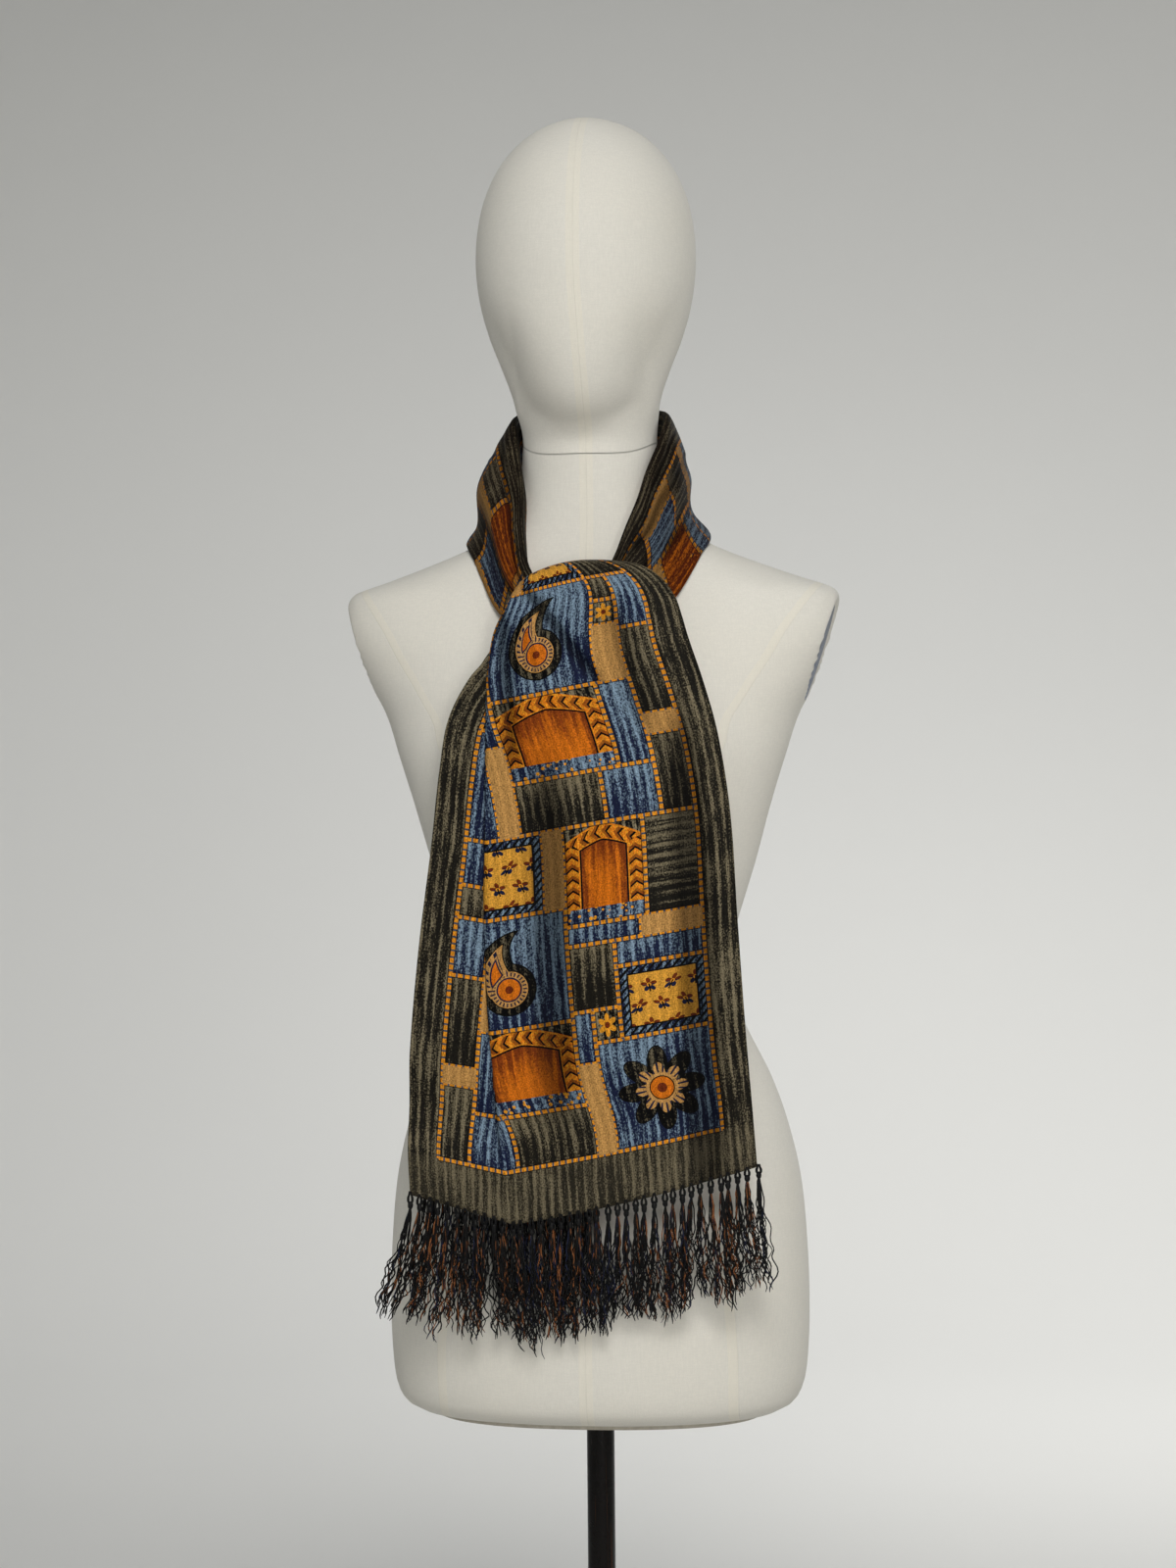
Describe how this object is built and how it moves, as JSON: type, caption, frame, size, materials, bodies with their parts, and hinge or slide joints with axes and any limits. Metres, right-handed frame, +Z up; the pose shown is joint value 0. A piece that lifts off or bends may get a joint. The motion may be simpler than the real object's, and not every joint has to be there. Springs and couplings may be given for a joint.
{
  "type": "fringed silk scarf on a limbless dress form with a head",
  "caption": "Long printed silk scarf with knotted fringes, wound round the neck and tied once over, on a padded limbless dress form with a faceless head, pole and round base.",
  "frame": {"origin": "on the floor under the middle of the round base", "axes": "+Z up; the form and the scarf's front face -Y; +X is to the right in a front view"},
  "size_m": [0.4, 0.4, 1.4603],
  "materials": {
    "linen": "close plain weave, matt",
    "chrome": "polished",
    "dark_metal": "gloss",
    "board": "matt",
    "printed_silk": "satin, printed",
    "fringe_thread": "soft twisted thread"
  },
  "bodies": {
    "root": {"stand_base": "dark_metal", "stand_pole": "dark_metal", "form_board": "board", "form_torso": "linen", "form_head": "linen", "armhole_plate_left": "chrome", "armhole_plate_right": "chrome", "scarf_neck_loop": "printed_silk", "scarf_front_fall": "printed_silk", "scarf_under_fall": "printed_silk", "fringe_front": "fringe_thread", "fringe_under": "fringe_thread"}
  },
  "joints": []
}
